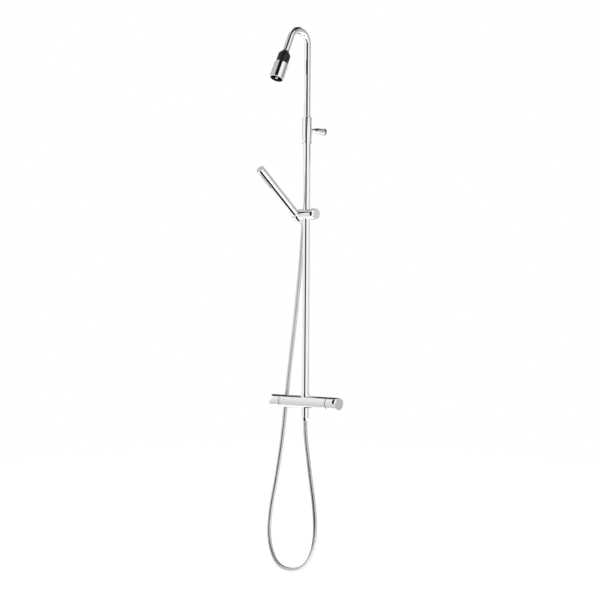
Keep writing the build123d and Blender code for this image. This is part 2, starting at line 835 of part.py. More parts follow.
ring_start = cone_end + run_gap
ring_length = shell_start - cone_end - 2 * run_gap
rib_pitch = ring_length / rib_count
with BuildPart() as spray_ring:
    with BuildSketch(on_head(ring_start)):
        Circle(ribbed_d / 2)
        Circle(sleeve_d / 2 + shaft_gap, mode=Mode.SUBTRACT)
    extrude(amount=ring_length)
    for rib in range(rib_count):
        with BuildSketch(on_head(ring_start + rib * rib_pitch)):
            Circle(ribbed_d / 2)
            Circle(ribbed_d / 2 - rib_groove_depth, mode=Mode.SUBTRACT)
        extrude(amount=rib_groove_width, mode=Mode.SUBTRACT)
save(spray_ring, "spray_ring")

with BuildPart() as head_shell:
    with BuildSketch(on_head(shell_start)):
        Circle(shell_d / 2)
    extrude(amount=shell_end - shell_start)
    rims = head_shell.edges().filter_by(GeomType.CIRCLE).sort_by(Axis.Z)
    fillet(rims[-1], radius=shell_round)
    with BuildSketch(on_head(shell_start)):
        Circle(sleeve_d / 2 + seat_gap)
    extrude(amount=shell_top_thickness, mode=Mode.SUBTRACT)
    with BuildSketch(on_head(shell_start + shell_top_thickness)):
        Circle(shell_d / 2 - shell_wall)
    extrude(amount=shell_end - shell_start, mode=Mode.SUBTRACT)
save(head_shell, "head_shell")

shell_bore = shell_d - 2 * shell_wall
with BuildPart() as nozzle_plate:
    with BuildSketch(on_head(plate_station)):
        Circle(shell_bore / 2 - seat_gap)
        Circle(jet_base_d / 2 + seat_gap, mode=Mode.SUBTRACT)
        with PolarLocations(spray_hole_circle_d / 2, spray_hole_count):
            Circle(spray_hole_d / 2, mode=Mode.SUBTRACT)
    extrude(amount=plate_thickness)
save(nozzle_plate, "nozzle_plate")

jet_nozzle = turned(
    on_head(0),
    (
        (jet_bore / 2, plate_station - jet_flange_thickness),
        (jet_base_d / 2 + jet_flange_width, plate_station - jet_flange_thickness),
        (jet_base_d / 2 + jet_flange_width, plate_station),
        (jet_base_d / 2, plate_station),
        (jet_base_d / 2, plate_station + plate_thickness + jet_shoulder_length),
        (jet_tip_d / 2, jet_end),
        (jet_bore / 2, jet_end),
    ),
)
save(jet_nozzle, "jet_nozzle")

diffuser = turned(
    on_head(0),
    (
        (pocket_r - seat_gap, diffuser_start - diffuser_collar_length),
        (pocket_r - seat_gap - diffuser_wall, diffuser_start - diffuser_collar_length),
        (pocket_r - seat_gap - diffuser_wall, diffuser_start),
        (diffuser_d / 2 - diffuser_wall, diffuser_start + diffuser_cone_length),
        (diffuser_d / 2 - diffuser_wall, plate_station),
        (diffuser_d / 2, plate_station),
        (diffuser_d / 2, diffuser_start + diffuser_cone_length),
        (pocket_r - seat_gap, diffuser_start),
    ),
)
save(diffuser, "flow_diffuser")

plate_seal_radius = (shell_bore / 2 + diffuser_d / 2) / 2
plate_seal_section = shell_bore / 2 - diffuser_d / 2 - 2 * seat_gap
save(
    sealing_ring(on_head(plate_station - plate_seal_section / 2), plate_seal_radius, plate_seal_section),
    "plate_seal",
)

# ------------------------------------------------------------------ slider
bush_d = riser_d + 2 * shaft_gap + 2 * bush_wall
save(
    rod(level(slider_z - bush_half_height), 2 * bush_half_height, bush_d, riser_d + 2 * shaft_gap),
    "slider_bush",
)

pivot_ring_x = slider_left + pivot_length / 2
with BuildPart() as slider_body:
    with BuildSketch(along_x(-slider_left, slider_z)):
        Circle(slider_d / 2)
    extrude(amount=slider_left + slider_right)
    with BuildSketch(outward(-1, slider_left, slider_z)):
        Circle(pivot_d / 2)
    extrude(amount=pivot_length)
    with BuildSketch(outward(-1, pivot_ring_x - pivot_ring_section_d / 2 - seat_gap, slider_z)):
        Circle(pivot_d / 2)
        Circle(pivot_d / 2 - pivot_ring_section_d, mode=Mode.SUBTRACT)
    extrude(amount=pivot_ring_section_d + 2 * seat_gap, mode=Mode.SUBTRACT)
    with BuildSketch(level(slider_z - slider_d)):
        Circle(riser_d / 2 + run_gap)
    extrude(amount=2 * slider_d, mode=Mode.SUBTRACT)
    with BuildSketch(level(slider_z - bush_half_height - run_gap)):
        Circle(bush_d / 2 + shaft_gap)
    extrude(amount=2 * (bush_half_height + run_gap), mode=Mode.SUBTRACT)
    with BuildSketch(along_x(0, slider_z)):
        Circle(knob_spindle_d / 2 + shaft_gap)
    extrude(amount=slider_right, mode=Mode.SUBTRACT)
save(slider_body, "slider_body")

pivot_ring_radius = pivot_d / 2 + shaft_gap / 2 - pivot_ring_section_d / 2
save(
    sealing_ring(outward(-1, pivot_ring_x, slider_z), pivot_ring_radius, pivot_ring_section_d),
    "pivot_friction_ring",
)

knob_start = slider_right + run_gap
spindle_tip = bush_d / 2 + run_gap + brake_pad_length
brake_pad_d = knob_spindle_d - 2 * brake_pad_gap
with BuildPart() as lock_knob:
    with BuildSketch(along_x(knob_start, slider_z)):
        Circle(slider_d / 2)
    extrude(amount=knob_end - knob_start)
    knob_rims = lock_knob.edges().filter_by(GeomType.CIRCLE)
    fillet(knob_rims, radius=rim_round)
    with BuildSketch(along_x(knob_start, slider_z)):
        Circle(knob_spindle_d / 2 + seat_gap)
    extrude(amount=(knob_end - knob_start) / 2, mode=Mode.SUBTRACT)
    cut_thumb_scoop(1, knob_end, slider_d / 2, 0, slider_z)
save(lock_knob, "lock_knob")

knob_spindle_end = knob_start + (knob_end - knob_start) / 2
save(rod(along_x(spindle_tip, slider_z), knob_spindle_end - spindle_tip, knob_spindle_d), "lock_spindle")
save(
    rod(along_x(bush_d / 2 + run_gap, slider_z), brake_pad_length - run_gap, brake_pad_d),
    "brake_pad",
)

# ------------------------------------------------------------------ cradle
cradle_start = slider_left + run_gap
with BuildPart() as socket_wall:
    with BuildSketch(on_stick(-cradle_low)):
        Circle(cradle_barrel_d / 2)
    extrude(amount=cradle_low + cradle_high)
    with BuildSketch(Plane(origin=on_stick(0).origin, x_dir=(0, 1, 0), z_dir=(1, 0, 0))):
        Circle(slider_d / 2)
    extrude(amount=cradle_barrel_d, both=True, mode=Mode.INTERSECT)

with BuildPart() as handset_cradle:
    with BuildSketch(outward(-1, cradle_start, slider_z)):
        Circle(slider_d / 2)
    extrude(amount=cradle_end - cradle_start)
    end_rim = handset_cradle.edges().filter_by(GeomType.CIRCLE).sort_by(Axis.X)[0]
    fillet(end_rim, radius=cradle_end_round)
    add(socket_wall.part)
    with BuildSketch(outward(-1, cradle_start, slider_z)):
        Circle(pivot_d / 2 + shaft_gap)
    extrude(amount=pivot_length + run_gap, mode=Mode.SUBTRACT)
    with BuildSketch(on_stick(cradle_high)):
        Circle(slider_d)
    extrude(amount=slider_d, mode=Mode.SUBTRACT)
    with BuildSketch(beside(on_stick(0))):
        with BuildLine():
            Polyline(
                (0, -cradle_low - slider_d),
                (socket_bottom_d / 2, -cradle_low - slider_d),
                (socket_bottom_d / 2, -cradle_low),
                (socket_top_d / 2, cradle_high),
                (0, cradle_high),
                close=True,
            )
        make_face()
    revolve(axis=Axis(on_stick(0).origin, on_stick(0).z_dir), mode=Mode.SUBTRACT)
    with BuildSketch(on_stick(-cradle_low - slider_d)):
        with Locations((-cradle_barrel_d / 2, 0)):
            Rectangle(cradle_barrel_d, hose_slot)
    extrude(amount=cradle_low + cradle_high + 2 * slider_d, mode=Mode.SUBTRACT)
save(handset_cradle, "handset_cradle")

# ------------------------------------------------------------------ hand shower
stick_start = cradle_high + run_gap
stick_end = stick_start + stick_length
strip_middle = stick_end - spray_strip_from_end - spray_strip_length / 2
strip_face = on_stick(strip_middle)
# the underside of the stick, where the spray strip is let in
strip_plane = Plane(
    origin=strip_face.origin, x_dir=strip_face.z_dir, z_dir=(0, -cos(stick_lean), -sin(stick_lean))
)
with BuildPart() as handset_body:
    with BuildSketch(on_stick(stick_start)):
        Circle(stick_d / 2)
    extrude(amount=stick_length)
    stick_rims = handset_body.edges().filter_by(GeomType.CIRCLE).sort_by(Axis.Z)
    fillet(stick_rims[-1], radius=rim_round)
    with BuildSketch(on_stick(stick_start)):
        Circle(stick_tail_d / 2)
    extrude(amount=-stick_tail_length)
    with BuildSketch(on_stick(stick_start + stick_end_thickness)):
        Circle(stick_bore / 2)
    extrude(amount=stick_length - 2 * stick_end_thickness, mode=Mode.SUBTRACT)
    with BuildSketch(on_stick(stick_start - stick_tail_length)):
        Circle(stick_tail_bore / 2)
    extrude(amount=stick_tail_length + stick_end_thickness, mode=Mode.SUBTRACT)
    with BuildSketch(strip_plane.offset(stick_d / 2 - spray_strip_depth)):
        SlotOverall(spray_strip_length, spray_strip_width)
    extrude(amount=stick_d, mode=Mode.SUBTRACT)
save(handset_body, "handset_body")

strip_top = (stick_d**2 / 4 - spray_strip_width**2 / 4) ** 0.5
with BuildPart() as spray_strip:
    with BuildSketch(strip_plane.offset(stick_d / 2 - spray_strip_depth)):
        SlotOverall(spray_strip_length - 2 * seat_gap, spray_strip_width - 2 * seat_gap)
    extrude(amount=strip_top - stick_d / 2 + spray_strip_depth)
    with BuildSketch(strip_plane.offset(strip_top)):
        with GridLocations(
            (spray_strip_length - spray_strip_width) / (stick_nozzle_count - 1),
            stick_nozzle_row_gap,
            stick_nozzle_count,
            stick_nozzle_rows,
        ):
            Circle(stick_nozzle_d / 2)
    extrude(amount=stick_nozzle_height)
save(spray_strip, "handset_spray_strip")

nut_top_r = socket_top_d / 2 + socket_slope * run_gap - cone_nut_gap
nut_low_r = socket_bottom_d / 2 - cone_nut_gap
stick_tail_end = stick_start - stick_tail_length
tail_bore_depth = stick_tail_end - gasket_thickness
cone_nut = turned(
    on_stick(0),
    (
        (stick_tail_d / 2 + seat_gap, stick_start),
        (nut_top_r, stick_start),
        (nut_low_r, -cradle_low),
        (cone_nut_exit_d / 2, -cone_nut_low),
        (0, -cone_nut_low),
        (0, -cone_nut_low + nut_floor_thickness),
        (hose_tail_d / 2, -cone_nut_low + nut_floor_thickness),
        (hose_tail_d / 2, tail_bore_depth),
        (stick_tail_d / 2 + seat_gap, tail_bore_depth),
    ),
)
save(cone_nut, "hose_cone_nut")
save(
    rod(on_stick(tail_bore_depth), gasket_thickness, stick_tail_d, hose_tail_d),
    "hose_washer_upper",
)

# ------------------------------------------------------------------ hose
thread_end = -(boss_bottom + outlet_thread_length)
washer_bottom = thread_end - gasket_thickness
nut_shoulder = hose_nut_top - hose_nut_length
lower_nut = turned(
    level(0),
    (
        (outlet_thread_d / 2 + seat_gap, hose_nut_top),
        (hose_nut_d / 2, hose_nut_top),
        (hose_nut_d / 2, nut_shoulder),
        (hose_nut_exit_d / 2, hose_nut_bottom),
        (0, hose_nut_bottom),
        (0, hose_nut_bottom + nut_floor_thickness),
        (hose_tail_d / 2, hose_nut_bottom + nut_floor_thickness),
        (hose_tail_d / 2, washer_bottom),
        (outlet_thread_d / 2 + seat_gap, washer_bottom),
    ),
)
save(lower_nut, "hose_nut_lower")
save(rod(level(washer_bottom), gasket_thickness, outlet_thread_d, hose_tail_d), "hose_washer_lower")

hose_exit = on_stick(-cone_nut_low)
hose_start = hose_exit.origin
hose_route = [
    (-40, -55.5, 574.5),
    (-43, -54, 556),
    (-46, -54, 528),
    (-50, -53, 482),
    (-60, -52, 400),
    (-79, -51, 262),
    (-102, -49, 132),
    (-123, -47, 0),
    (-136, -49, -120),
    (-161, -54, -268),
    (-184, -58, -369),
    (-187, -62, -466),
    (-153, -66, -535),
    (-98, -71, -557),
    (-21, -76, -547),
    (30, -80, -502),
    (53, -83, -425),
    (48, -84, -338),
    (28, -83, -244),
    (9, -81, -148),
    (0, -80, -97),
]
hose_end = Vector(0, axis_y, hose_nut_bottom)
hose_first = on_stick(-cone_nut_low - hose_first_run).origin
hose_points = [hose_start, hose_first, *[Vector(*point) for point in hose_route], hose_end]
hose_radii = []
for before, corner, after in zip(hose_points, hose_points[1:], hose_points[2:]):
    turn = radians((corner - before).get_angle(after - corner))
    shorter = min((corner - before).length, (after - corner).length)
    hose_radii.append(hose_arc_share * shorter / tan(turn / 2))
print("hose radii", [round(radius) for radius in hose_radii])

with BuildPart() as shower_hose:
    with BuildLine() as hose_line:
        FilletPolyline(*hose_points, radius=hose_radii)
    with BuildSketch(Plane(origin=hose_start, z_dir=hose_line.line % 0)):
        Circle(hose_d / 2)
    sweep()
save(shower_hose, "shower_hose")
hose_length = sum(edge.length for edge in hose_line.edges())
hose_section = pi * hose_d**2 / 4
print("hose length", round(hose_length, 1))
print("hose volume", round(shower_hose.part.volume), "section x length", round(hose_section * hose_length))
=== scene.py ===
import json
from math import cos, pi, radians, sin, tan

import bmesh
import bpy
from bpy.props import FloatProperty, FloatVectorProperty, IntProperty, PointerProperty
from mathutils import Matrix, Vector


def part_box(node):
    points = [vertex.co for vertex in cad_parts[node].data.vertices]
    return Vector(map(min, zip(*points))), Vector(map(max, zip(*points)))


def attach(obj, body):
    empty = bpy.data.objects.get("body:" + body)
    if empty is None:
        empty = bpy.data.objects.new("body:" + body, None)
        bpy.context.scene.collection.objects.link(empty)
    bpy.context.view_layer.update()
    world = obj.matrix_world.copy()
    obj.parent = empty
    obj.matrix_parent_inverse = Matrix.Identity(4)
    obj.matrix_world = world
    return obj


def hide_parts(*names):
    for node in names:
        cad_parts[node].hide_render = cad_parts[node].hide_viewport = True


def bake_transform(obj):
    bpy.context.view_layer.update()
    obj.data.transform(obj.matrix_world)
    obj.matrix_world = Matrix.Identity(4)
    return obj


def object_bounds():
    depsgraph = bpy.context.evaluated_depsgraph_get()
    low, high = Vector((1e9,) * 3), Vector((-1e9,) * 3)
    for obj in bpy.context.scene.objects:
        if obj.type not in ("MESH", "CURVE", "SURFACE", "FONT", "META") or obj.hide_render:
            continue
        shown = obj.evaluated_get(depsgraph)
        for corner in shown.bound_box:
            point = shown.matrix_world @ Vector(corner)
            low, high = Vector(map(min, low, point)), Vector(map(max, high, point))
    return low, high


bl_info = {
    "name": "Shower Column",
    "version": (1, 0, 0),
    "blender": (4, 5, 0),
    "location": "3D Viewport > Sidebar > Shower",
    "description": "Dresses a wall-mounted shower column with its finishes, hose, marks and studio",
    "category": "Add Mesh",
}

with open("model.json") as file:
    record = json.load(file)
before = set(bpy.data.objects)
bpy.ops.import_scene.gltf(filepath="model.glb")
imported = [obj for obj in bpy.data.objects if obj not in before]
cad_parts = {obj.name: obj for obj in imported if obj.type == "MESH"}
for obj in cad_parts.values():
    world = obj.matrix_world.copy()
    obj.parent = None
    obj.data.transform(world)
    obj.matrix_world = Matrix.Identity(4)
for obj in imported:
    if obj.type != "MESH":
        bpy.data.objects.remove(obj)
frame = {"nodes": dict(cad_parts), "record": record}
cad_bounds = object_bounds()

MM = 0.001
FULL_TURN = 2 * pi
TAG = "shower_column"

# The riser's axis stands this far in front of the wall, and the head leans forward on the
# gooseneck.
AXIS_Y = -80 * MM
HEAD_LEAN = radians(24)
HEAD_AXIS = Vector((0, -sin(HEAD_LEAN), -cos(HEAD_LEAN)))
HEAD_CENTRE = Vector((0, -186.519 * MM, 1112.941 * MM))  # the ball joint's centre
FROM_WALL = Vector((0, -1, 0))

# The hose's route, from the hand shower's cone nut to the nut under the mixer, in millimetres.
HOSE_ROUTE = (
    (-38, -69.302, 593.191),
    (-38, -60.875, 586.120),
    (-40, -55.5, 574.5),
    (-44.5, -52, 556),
    (-48, -51.5, 528),
    (-52, -50.5, 482),
    (-62, -50, 400),
    (-80, -50, 262),
    (-102, -49, 132),
    (-123, -47, 0),
    (-136, -49, -120),
    (-161, -54, -268),
    (-184, -58, -369),
    (-187, -62, -466),
    (-153, -66, -535),
    (-98, -71, -557),
    (-21, -76, -547),
    (30, -80, -502),
    (53, -83, -425),
    (48, -84, -338),
    (28, -83, -244),
    (9, -81, -148),
    (0, -80, -97),
    (0, -80, -59.5),
)


# ------------------------------------------------------------------ shader maths
class Wire:
    """A node's output, on which Python's operators add Math nodes."""

    def __init__(self, finish, socket):
        self.finish = finish
        self.socket = socket

    def math(self, operation, first, second):
        return self.finish.node("Math", {"operation": operation}, {0: first, 1: second})

    def __add__(self, other):
        return self.math("ADD", self, other)

    def __sub__(self, other):
        return self.math("SUBTRACT", self, other)

    def __rsub__(self, other):
        return self.math("SUBTRACT", other, self)

    def __mul__(self, other):
        return self.math("MULTIPLY", self, other)

    def __gt__(self, other):
        return self.math("GREATER_THAN", self, other)

    __radd__ = __add__
    __rmul__ = __mul__


class Finish:
    """A node tree under construction, with one way of adding nodes to it."""

    def __init__(self, tree):
        self.tree = tree
        self.tree.nodes.clear()

    def node(self, kind, settings=None, inputs=None, output=0):
        made = self.tree.nodes.new("ShaderNode" + kind)
        for key, value in (settings or {}).items():
            setattr(made, key, value)
        for key, value in (inputs or {}).items():
            if isinstance(value, Wire):
                self.tree.links.new(value.socket, made.inputs[key])
            else:
                made.inputs[key].default_value = value
        return Wire(self, made.outputs[output]) if made.outputs else made

    def place(self):
        return self.node("TexCoord", output="Object")

    def noise(self, scale, detail=2.0, vector=None):
        inputs = {"Vector": vector or self.place(), "Scale": scale, "Detail": detail}
        return self.node("TexNoise", inputs=inputs, output="Fac")

    def blend(self, factor, first, second):
        inputs = {0: factor, 6: (*first, 1), 7: (*second, 1)}
        return self.node("Mix", {"data_type": "RGBA"}, inputs, output=2)

    def bump(self, height, distance):
        inputs = {"Strength": 1.0, "Distance": distance, "Height": height}
        return self.node("Bump", inputs=inputs)

    def seen_or_mirrored(self):
        """1 for what the camera sees, directly or by way of a glossy or clear surface, else 0."""
        seen = self.node("LightPath", output="Is Camera Ray")
        mirrored = self.node("LightPath", output="Is Glossy Ray")
        through = self.node("LightPath", output="Is Transmission Ray")
        return seen + mirrored + through > 0.5

    def surface(self, **sockets):
        inputs = {name.replace("_", " ").title(): value for name, value in sockets.items()}
        shader = self.node("BsdfPrincipled", inputs=inputs)
        self.node("OutputMaterial", inputs={"Surface": shader})


METAL_GRAIN = 900.0  # marks per metre
METAL_GRAIN_DEPTH = 0.02 * MM


def new_material(name):
    material = bpy.data.materials.new(name)
    material.use_nodes = True
    return material, Finish(material.node_tree)


def polished_chrome(settings):
    """Polished chrome: smudges in its gloss and the faint waviness of a plated tube."""
    material, finish = new_material("polished_chrome")
    smudge = finish.noise(settings.smudge_scale, 4.0)
    ripple = finish.noise(settings.ripple_scale, 1.0)
    finish.surface(
        base_color=finish.blend(smudge, settings.bright, settings.dull),
        metallic=1.0,
        roughness=smudge * settings.smudge + settings.roughness,
        normal=finish.bump(ripple, settings.ripple),
    )
    return material


def hose_metal(settings):
    """Spiral-wound hose: bright crowns, and rougher grooves whose darker colour is painted shade.
    """
    material, finish = new_material("hose_metal")
    groove = finish.node("Attribute", {"attribute_name": "groove"}, output="Fac")
    grain = finish.noise(METAL_GRAIN)
    finish.surface(
        # painted shade: the colour darkens with the groove's depth
        base_color=finish.blend(groove, settings.crown, settings.groove_shade_colour),
        metallic=1.0,
        roughness=groove * 0.25 + grain * 0.05 + settings.roughness,
        normal=finish.bump(grain, METAL_GRAIN_DEPTH),
    )
    return material


def moulded(name, colour, worn, roughness, grain_scale, grain_depth):
    """Moulded plastic or rubber: a fine grain, and a slow change of colour and gloss."""
    material, finish = new_material(name)
    slow = finish.noise(35.0, 3.0)
    grain = finish.noise(grain_scale)
    finish.surface(
        base_color=finish.blend(slow, colour, worn),
        roughness=slow * 0.08 + grain * 0.06 + roughness,
        normal=finish.bump(grain, grain_depth),
    )
    return material


def machined(name, colour, dark, roughness):
    """Machined metal: fine streaks, drawn out along the wall-to-room direction."""
    material, finish = new_material(name)
    scale = (METAL_GRAIN, METAL_GRAIN / 15, METAL_GRAIN)
    stretched = finish.node("Mapping", inputs={"Vector": finish.place(), "Scale": scale})
    streak = finish.noise(1.0, 3.0, stretched)
    finish.surface(
        base_color=finish.blend(streak, colour, dark),
        metallic=1.0,
        roughness=streak * 0.15 + roughness,
        normal=finish.bump(streak, METAL_GRAIN_DEPTH),
    )
    return material


def paint(names, material):
    """Gives CAD nodes a material in place of their own."""
    for name in names:
        slots = frame["nodes"][name].data.materials
        slots.clear()
        slots.append(material)


def nodes_of(*slots):
    """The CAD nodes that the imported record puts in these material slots."""
    return [part["node"] for part in frame["record"]["subparts"] if part["material_slot"] in slots]


# ------------------------------------------------------------------ settings
class ChromeSettings(bpy.types.PropertyGroup):
    bright: FloatVectorProperty(
        name="Bright", description="Colour of clean chrome", subtype="COLOR", size=3, min=0, max=1,
        default=(0.93, 0.93, 0.94),
    )
    dull: FloatVectorProperty(
        name="Dull", description="Colour of handled chrome", subtype="COLOR", size=3, min=0, max=1,
        default=(0.89, 0.89, 0.905),
    )
    roughness: FloatProperty(
        name="Roughness", description="Roughness of clean chrome", subtype="FACTOR", min=0, max=1,
        default=0.03,
    )
    smudge: FloatProperty(
        name="Smudge", description="Roughness that handling adds", subtype="FACTOR", min=0, max=1,
        default=0.04,
    )
    smudge_scale: FloatProperty(
        name="Smudge Scale", description="Smudges per metre", min=1, default=28.0
    )
    ripple: FloatProperty(
        name="Ripple", description="Depth of the plating's waviness", unit="LENGTH", min=0,
        default=0.004 * MM,
    )
    ripple_scale: FloatProperty(
        name="Ripple Scale", description="Waves per metre", min=1, default=45.0
    )


class HoseSettings(bpy.types.PropertyGroup):
    diameter: FloatProperty(
        name="Diameter", description="Outer diameter of the hose", unit="LENGTH", min=4 * MM,
        default=14.4 * MM,
    )
    pitch: FloatProperty(
        name="Pitch", description="Length of one winding", unit="LENGTH", min=1 * MM,
        default=3.2 * MM,
    )
    groove_depth: FloatProperty(
        name="Groove Depth", description="Depth between windings", unit="LENGTH", min=0,
        default=0.5 * MM,
    )
    sides: IntProperty(name="Sides", description="Faces around the hose", min=8, default=20)
    section: FloatProperty(
        name="Section", description="Length of each of the three short upper pieces", unit="LENGTH",
        min=87 * MM, default=92 * MM,
    )
    crown: FloatVectorProperty(
        name="Crown", description="Colour of the windings", subtype="COLOR", size=3, min=0, max=1,
        default=(0.80, 0.80, 0.82),
    )
    # painted shade: the colour that darkens the grooves between the windings
    groove_shade_colour: FloatVectorProperty(
        name="Groove", description="Colour between the windings", subtype="COLOR", size=3,
        min=0, max=1, default=(0.30, 0.30, 0.31),
    )
    roughness: FloatProperty(
        name="Roughness", description="Roughness of the crowns", subtype="FACTOR", min=0, max=1,
        default=0.16,
    )


class MarkSettings(bpy.types.PropertyGroup):
    ticks: IntProperty(
        name="Ticks", description="Marks on the temperature collar", min=3, default=11
    )
    spread: FloatProperty(
        name="Spread", description="Angle that the marks cover", subtype="ANGLE",
        default=radians(100),
    )
    tick_width: FloatProperty(
        name="Tick Width", description="Width of one mark", unit="LENGTH", min=0.1 * MM,
        default=0.6 * MM,
    )
    nozzles: IntProperty(name="Nozzles", description="Nozzles around the jet", min=6, default=24)
    nozzle_circle: FloatProperty(
        name="Nozzle Circle", description="Diameter of their circle", unit="LENGTH",
        default=31 * MM,
    )


class StageSettings(bpy.types.PropertyGroup):
    floor_drop: FloatProperty(
        name="Floor Drop", description="Floor below the hose's lowest point", unit="LENGTH",
        default=0.58,
    )
    floor_lift: FloatProperty(
        name="Floor Lift", description="Glow that whitens the floor", min=0, default=0.56
    )
    room_light: FloatProperty(
        name="Room Light", description="Strength of the room's own light", default=0.55
    )
    key_power: FloatProperty(
        name="Key Power", description="Power of the main lamp", unit="POWER", default=90.0
    )
    fill_power: FloatProperty(
        name="Fill Power", description="Power of the other lamp", unit="POWER", default=35.0
    )
    focal: FloatProperty(
        name="Focal Length", description="Camera's focal length in mm", default=90.48
    )
    pitch: FloatProperty(
        name="Pitch", description="Camera's upward tilt", subtype="ANGLE", default=0.0095
    )
    roll: FloatProperty(name="Roll", description="Camera's lean", subtype="ANGLE", default=0.0066)


class ColumnSettings(bpy.types.PropertyGroup):
    chrome: PointerProperty(type=ChromeSettings)
    hose: PointerProperty(type=HoseSettings)
    marks: PointerProperty(type=MarkSettings)
    stage: PointerProperty(type=StageSettings)


# ------------------------------------------------------------------ mesh helpers
def new_piece(name, mesh_bm, body=None):
    """Makes an object of a bmesh, shaded smooth across gentle edges, and puts it on a body."""
    bmesh.ops.recalc_face_normals(mesh_bm, faces=mesh_bm.faces)
    mesh = bpy.data.meshes.new(name)
    mesh_bm.to_mesh(mesh)
    mesh_bm.free()
    mesh.shade_smooth()
    piece = bpy.data.objects.new(name, mesh)
    bpy.context.scene.collection.objects.link(piece)
    if body:
        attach(piece, body)
    return piece


def facing(origin, direction):
    """A matrix that takes +Z to a direction, at an origin."""
    turn = direction.to_track_quat("Z", "Y").to_matrix().to_4x4()
    return Matrix.Translation(origin) @ turn


RING_STEPS = 96
RING_EDGE = 0.2  # the most that is broken off a ring's edges, in millimetres


def spin_round(shape, steps):
    """Spins the profile that a bmesh holds once about Z."""
    bmesh.ops.spin(
        shape, geom=shape.verts[:] + shape.edges[:], cent=(0, 0, 0), axis=(0, 0, 1),
        angle=FULL_TURN, steps=steps, use_merge=True,
    )


def turned_ring(name, inner, outer, start, end, origin, axis, body):
    """A ring with broken edges, spun about an axis; radii and stations are in millimetres."""
    edge = min(RING_EDGE, (outer - inner) / 3)
    section = (
        (inner, start + edge), (inner + edge, start), (outer - edge, start), (outer, start + edge),
        (outer, end - edge), (outer - edge, end), (inner + edge, end), (inner, end - edge),
    )
    ring = bmesh.new()
    loop = [ring.verts.new((radius * MM, 0, station * MM)) for radius, station in section]
    for index in range(len(loop)):
        ring.edges.new((loop[index - 1], loop[index]))
    spin_round(ring, RING_STEPS)
    bmesh.ops.transform(ring, matrix=facing(origin, axis), verts=ring.verts)
    return new_piece(name, ring, body)


# ------------------------------------------------------------------ hose
ROUTE_RESOLUTION = 24  # curve points between two control points


def smooth_route():
    """Points along the hose, read from a NURBS curve through its route's control points."""
    curve = bpy.data.curves.new("hose_route", "CURVE")
    curve.dimensions = "3D"
    spline = curve.splines.new("NURBS")
    spline.points.add(len(HOSE_ROUTE) - 1)
    for point, place in zip(spline.points, HOSE_ROUTE):
        point.co = (*(Vector(place) * MM), 1)
    spline.order_u = 3
    spline.use_endpoint_u = True
    spline.resolution_u = ROUTE_RESOLUTION
    guide = bpy.data.objects.new("hose_route", curve)
    mesh = bpy.data.meshes.new_from_object(guide)
    points = [vertex.co.copy() for vertex in mesh.vertices]
    bpy.data.objects.remove(guide)
    bpy.data.curves.remove(curve)
    bpy.data.meshes.remove(mesh)
    return points


class Route:
    """The hose's centreline, with a frame carried along it without twist."""

    def __init__(self, points):
        self.points = points
        self.stations = [0.0]
        for before, after in zip(points, points[1:]):
            self.stations.append(self.stations[-1] + (after - before).length)
        self.length = self.stations[-1]
        self.sides = []
        side = Vector((1, 0, 0))
        for index in range(len(points)):
            ahead = self.heading(index)
            side = (side - ahead * side.dot(ahead)).normalized()
            self.sides.append(side)

    def heading(self, index):
        last = len(self.points) - 1
        return (self.points[min(index + 1, last)] - self.points[max(index - 1, 0)]).normalized()

    def at(self, station):
        """(centre, side, upright) of the frame at a station."""
        low, high = 0, len(self.stations) - 1
        while high - low > 1:
            middle = (low + high) // 2
            if self.stations[middle] <= station:
                low = middle
            else:
                high = middle
        share = (station - self.stations[low]) / (self.stations[high] - self.stations[low])
        centre = self.points[low].lerp(self.points[high], share)
        ahead = self.heading(low).lerp(self.heading(high), share).normalized()
        side = self.sides[low].lerp(self.sides[high], share)
        side = (side - ahead * side.dot(ahead)).normalized()
        return centre, side, ahead.cross(side)

    def station_at_bottom(self):
        lowest = min(range(len(self.points)), key=lambda index: self.points[index].z)
        return self.stations[lowest]


# one winding's profile: share of the pitch, and share of the groove's depth
WINDING = ((0.0, 1.0), (0.2, 0.12), (0.5, 0.0), (0.8, 0.12))


def hose_piece(name, route, start, end, settings):
    """A wound tube between two stations, spun straight and then laid along the route."""
    windings = round((end - start) / settings.pitch)
    step = (end - start) / windings
    profile = [
        (start + (turn + share) * step, depth)
        for turn in range(windings)
        for share, depth in WINDING
    ]
    profile.append((end, 1.0))
    tube = bmesh.new()
    radius = settings.diameter / 2
    line = [
        tube.verts.new((radius - depth * settings.groove_depth, 0, station))
        for station, depth in profile
    ]
    for before, after in zip(line, line[1:]):
        tube.edges.new((before, after))
    spin_round(tube, settings.sides)
    # the groove's depth, which also darkens the colour there as painted shade
    groove = tube.verts.layers.float.new("groove")
    frames = {}
    for vertex in tube.verts:
        station = round(vertex.co.z, 7)
        if station not in frames:
            frames[station] = route.at(station)
        centre, side, upright = frames[station]
        depth = (radius - vertex.co.xy.length) / settings.groove_depth
        vertex[groove] = min(max(depth, 0), 1)
        vertex.co = centre + side * vertex.co.x + upright * vertex.co.y
    piece = new_piece(name, tube)
    centres = [route.at(station)[0] for station, _ in profile]
    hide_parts("shower_hose")
    return piece, centres


class SHOWER_OT_hose(bpy.types.Operator):
    """Lay the wound hose in five pieces, and put the lowest on the column's body"""

    bl_idname = "shower.hose"
    bl_label = "Hose"

    def execute(self, context):
        settings = getattr(context.scene, TAG).hose
        route = Route(smooth_route())
        section = settings.section
        cuts = [0, section, 2 * section, 3 * section, route.station_at_bottom(), route.length]
        names = ("hose_top", "hose_neck", "hose_shoulder", "hose_fall", "hose_loop")
        bodies = (
            ("handset", "cradle"), ("cradle", "slider"), ("slider", "slider_carriage"),
            ("slider_carriage", "column"), ("column",),
        )
        material = hose_metal(settings)
        for name, start, end, pair in zip(names, cuts, cuts[1:], bodies):
            piece, centres = hose_piece(name, route, start, end, settings)
            piece.data.materials.append(material)
            if len(pair) == 2:
                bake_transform(piece)
            else:
                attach(piece, pair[0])
        return {"FINISHED"}


